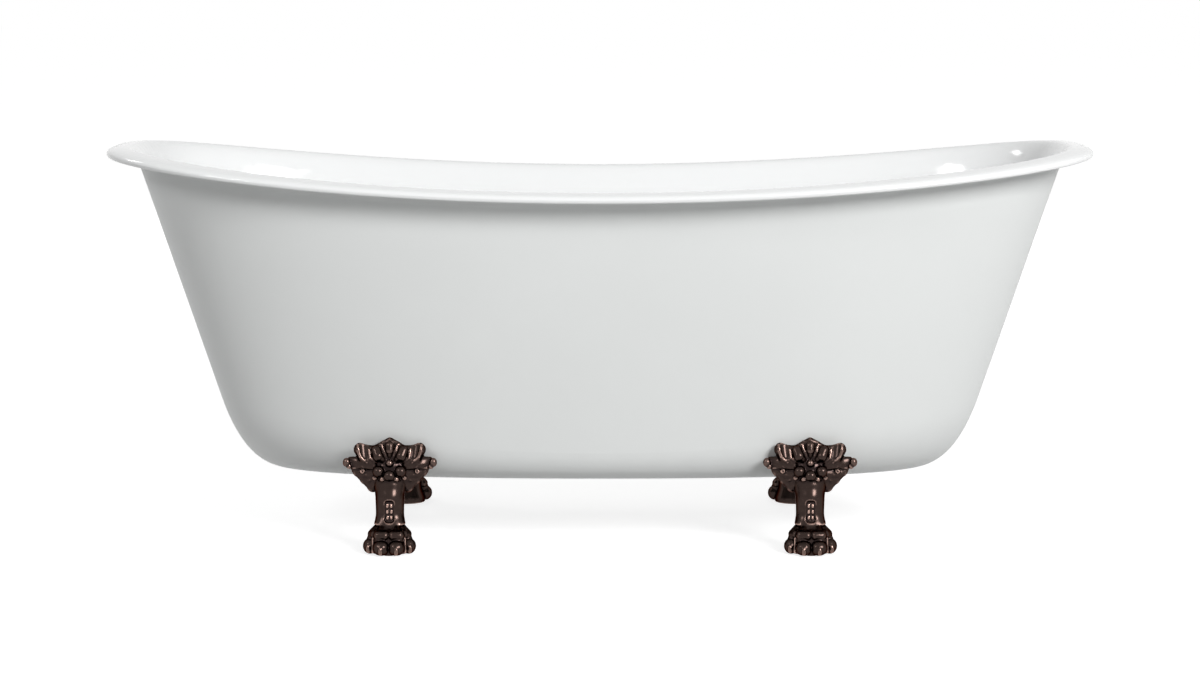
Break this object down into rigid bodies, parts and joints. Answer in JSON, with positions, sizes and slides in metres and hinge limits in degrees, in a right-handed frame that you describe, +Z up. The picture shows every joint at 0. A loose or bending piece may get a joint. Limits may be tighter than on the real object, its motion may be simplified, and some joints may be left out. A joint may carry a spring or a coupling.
{
  "type": "cast iron bathtub",
  "caption": "Freestanding double-ended cast iron bath with a rolled rim that rises at both ends, standing on ornate bronze paw feet.",
  "frame": {"origin": "on the floor, under the middle of the tub", "axes": "+X along the tub's length, +Y to the rear where the overflow is, +Z up"},
  "size_m": [1.7, 0.74, 0.6745],
  "materials": {
    "exterior_paint": "satin pale grey paint over smoothed cast iron",
    "enamel": "gloss white vitreous enamel",
    "bronzed_iron": "dark bronze finish, rubbed to a copper tone on high spots",
    "zinc_steel": "zinc plated",
    "nylon": "moulded, matte",
    "chrome": "polished",
    "brass": "as turned",
    "rubber": "moulded"
  },
  "bodies": {
    "bath": {"tub_shell": "exterior_paint", "enamel_lining": "enamel", "foot_bolts": "zinc_steel", "foot_washers": "zinc_steel", "waste_body": "chrome", "waste_top_gasket": "rubber", "waste_bottom_gasket": "rubber", "waste_backnut": "brass", "plug_sleeve": "brass", "overflow_faceplate": "chrome", "overflow_screw": "chrome", "overflow_gasket": "rubber", "overflow_elbow": "brass", "foot_front_left": "bronzed_iron", "foot_front_right": "bronzed_iron", "foot_rear_left": "bronzed_iron", "foot_rear_right": "bronzed_iron"},
    "plug": {"plug_stem": "brass", "plug_cap": "chrome", "plug_seal": "rubber"},
    "leveller_pad_front_left": {"leveller_pad_front_left": "nylon"},
    "leveller_screw_front_left": {"leveller_screw_front_left": "zinc_steel"},
    "leveller_pad_front_right": {"leveller_pad_front_right": "nylon"},
    "leveller_screw_front_right": {"leveller_screw_front_right": "zinc_steel"},
    "leveller_pad_rear_left": {"leveller_pad_rear_left": "nylon"},
    "leveller_screw_rear_left": {"leveller_screw_rear_left": "zinc_steel"},
    "leveller_pad_rear_right": {"leveller_pad_rear_right": "nylon"},
    "leveller_screw_rear_right": {"leveller_screw_rear_right": "zinc_steel"}
  },
  "joints": [
    {"name": "plug_press", "type": "slide", "parent": "bath", "child": "plug", "axis": [0, 0, 1], "range_m": [-0.009, 0]},
    {"name": "wind_front_left", "type": "slide", "parent": "bath", "child": "leveller_pad_front_left", "axis": [0, 0, -1], "range_m": [0, 0.012]},
    {"name": "turn_front_left", "type": "hinge", "parent": "leveller_pad_front_left", "child": "leveller_screw_front_left", "pos_m": [-0.355, -0.24885, 0.02], "axis": [0, 0, -1], "range_deg": [0, 2881]},
    {"name": "wind_front_right", "type": "slide", "parent": "bath", "child": "leveller_pad_front_right", "axis": [0, 0, -1], "range_m": [0, 0.012]},
    {"name": "turn_front_right", "type": "hinge", "parent": "leveller_pad_front_right", "child": "leveller_screw_front_right", "pos_m": [0.355, -0.24885, 0.02], "axis": [0, 0, -1], "range_deg": [0, 2881]},
    {"name": "wind_rear_left", "type": "slide", "parent": "bath", "child": "leveller_pad_rear_left", "axis": [0, 0, -1], "range_m": [0, 0.012]},
    {"name": "turn_rear_left", "type": "hinge", "parent": "leveller_pad_rear_left", "child": "leveller_screw_rear_left", "pos_m": [-0.355, 0.24885, 0.02], "axis": [0, 0, -1], "range_deg": [0, 2881]},
    {"name": "wind_rear_right", "type": "slide", "parent": "bath", "child": "leveller_pad_rear_right", "axis": [0, 0, -1], "range_m": [0, 0.012]},
    {"name": "turn_rear_right", "type": "hinge", "parent": "leveller_pad_rear_right", "child": "leveller_screw_rear_right", "pos_m": [0.355, 0.24885, 0.02], "axis": [0, 0, -1], "range_deg": [0, 2881]}
  ],
  "couplings": [
    {"joint": "turn_front_left", "follows": "wind_front_left", "rad_per_m": 4188.8},
    {"joint": "turn_front_right", "follows": "wind_front_right", "rad_per_m": 4188.8},
    {"joint": "turn_rear_left", "follows": "wind_rear_left", "rad_per_m": 4188.8},
    {"joint": "turn_rear_right", "follows": "wind_rear_right", "rad_per_m": 4188.8}
  ]
}
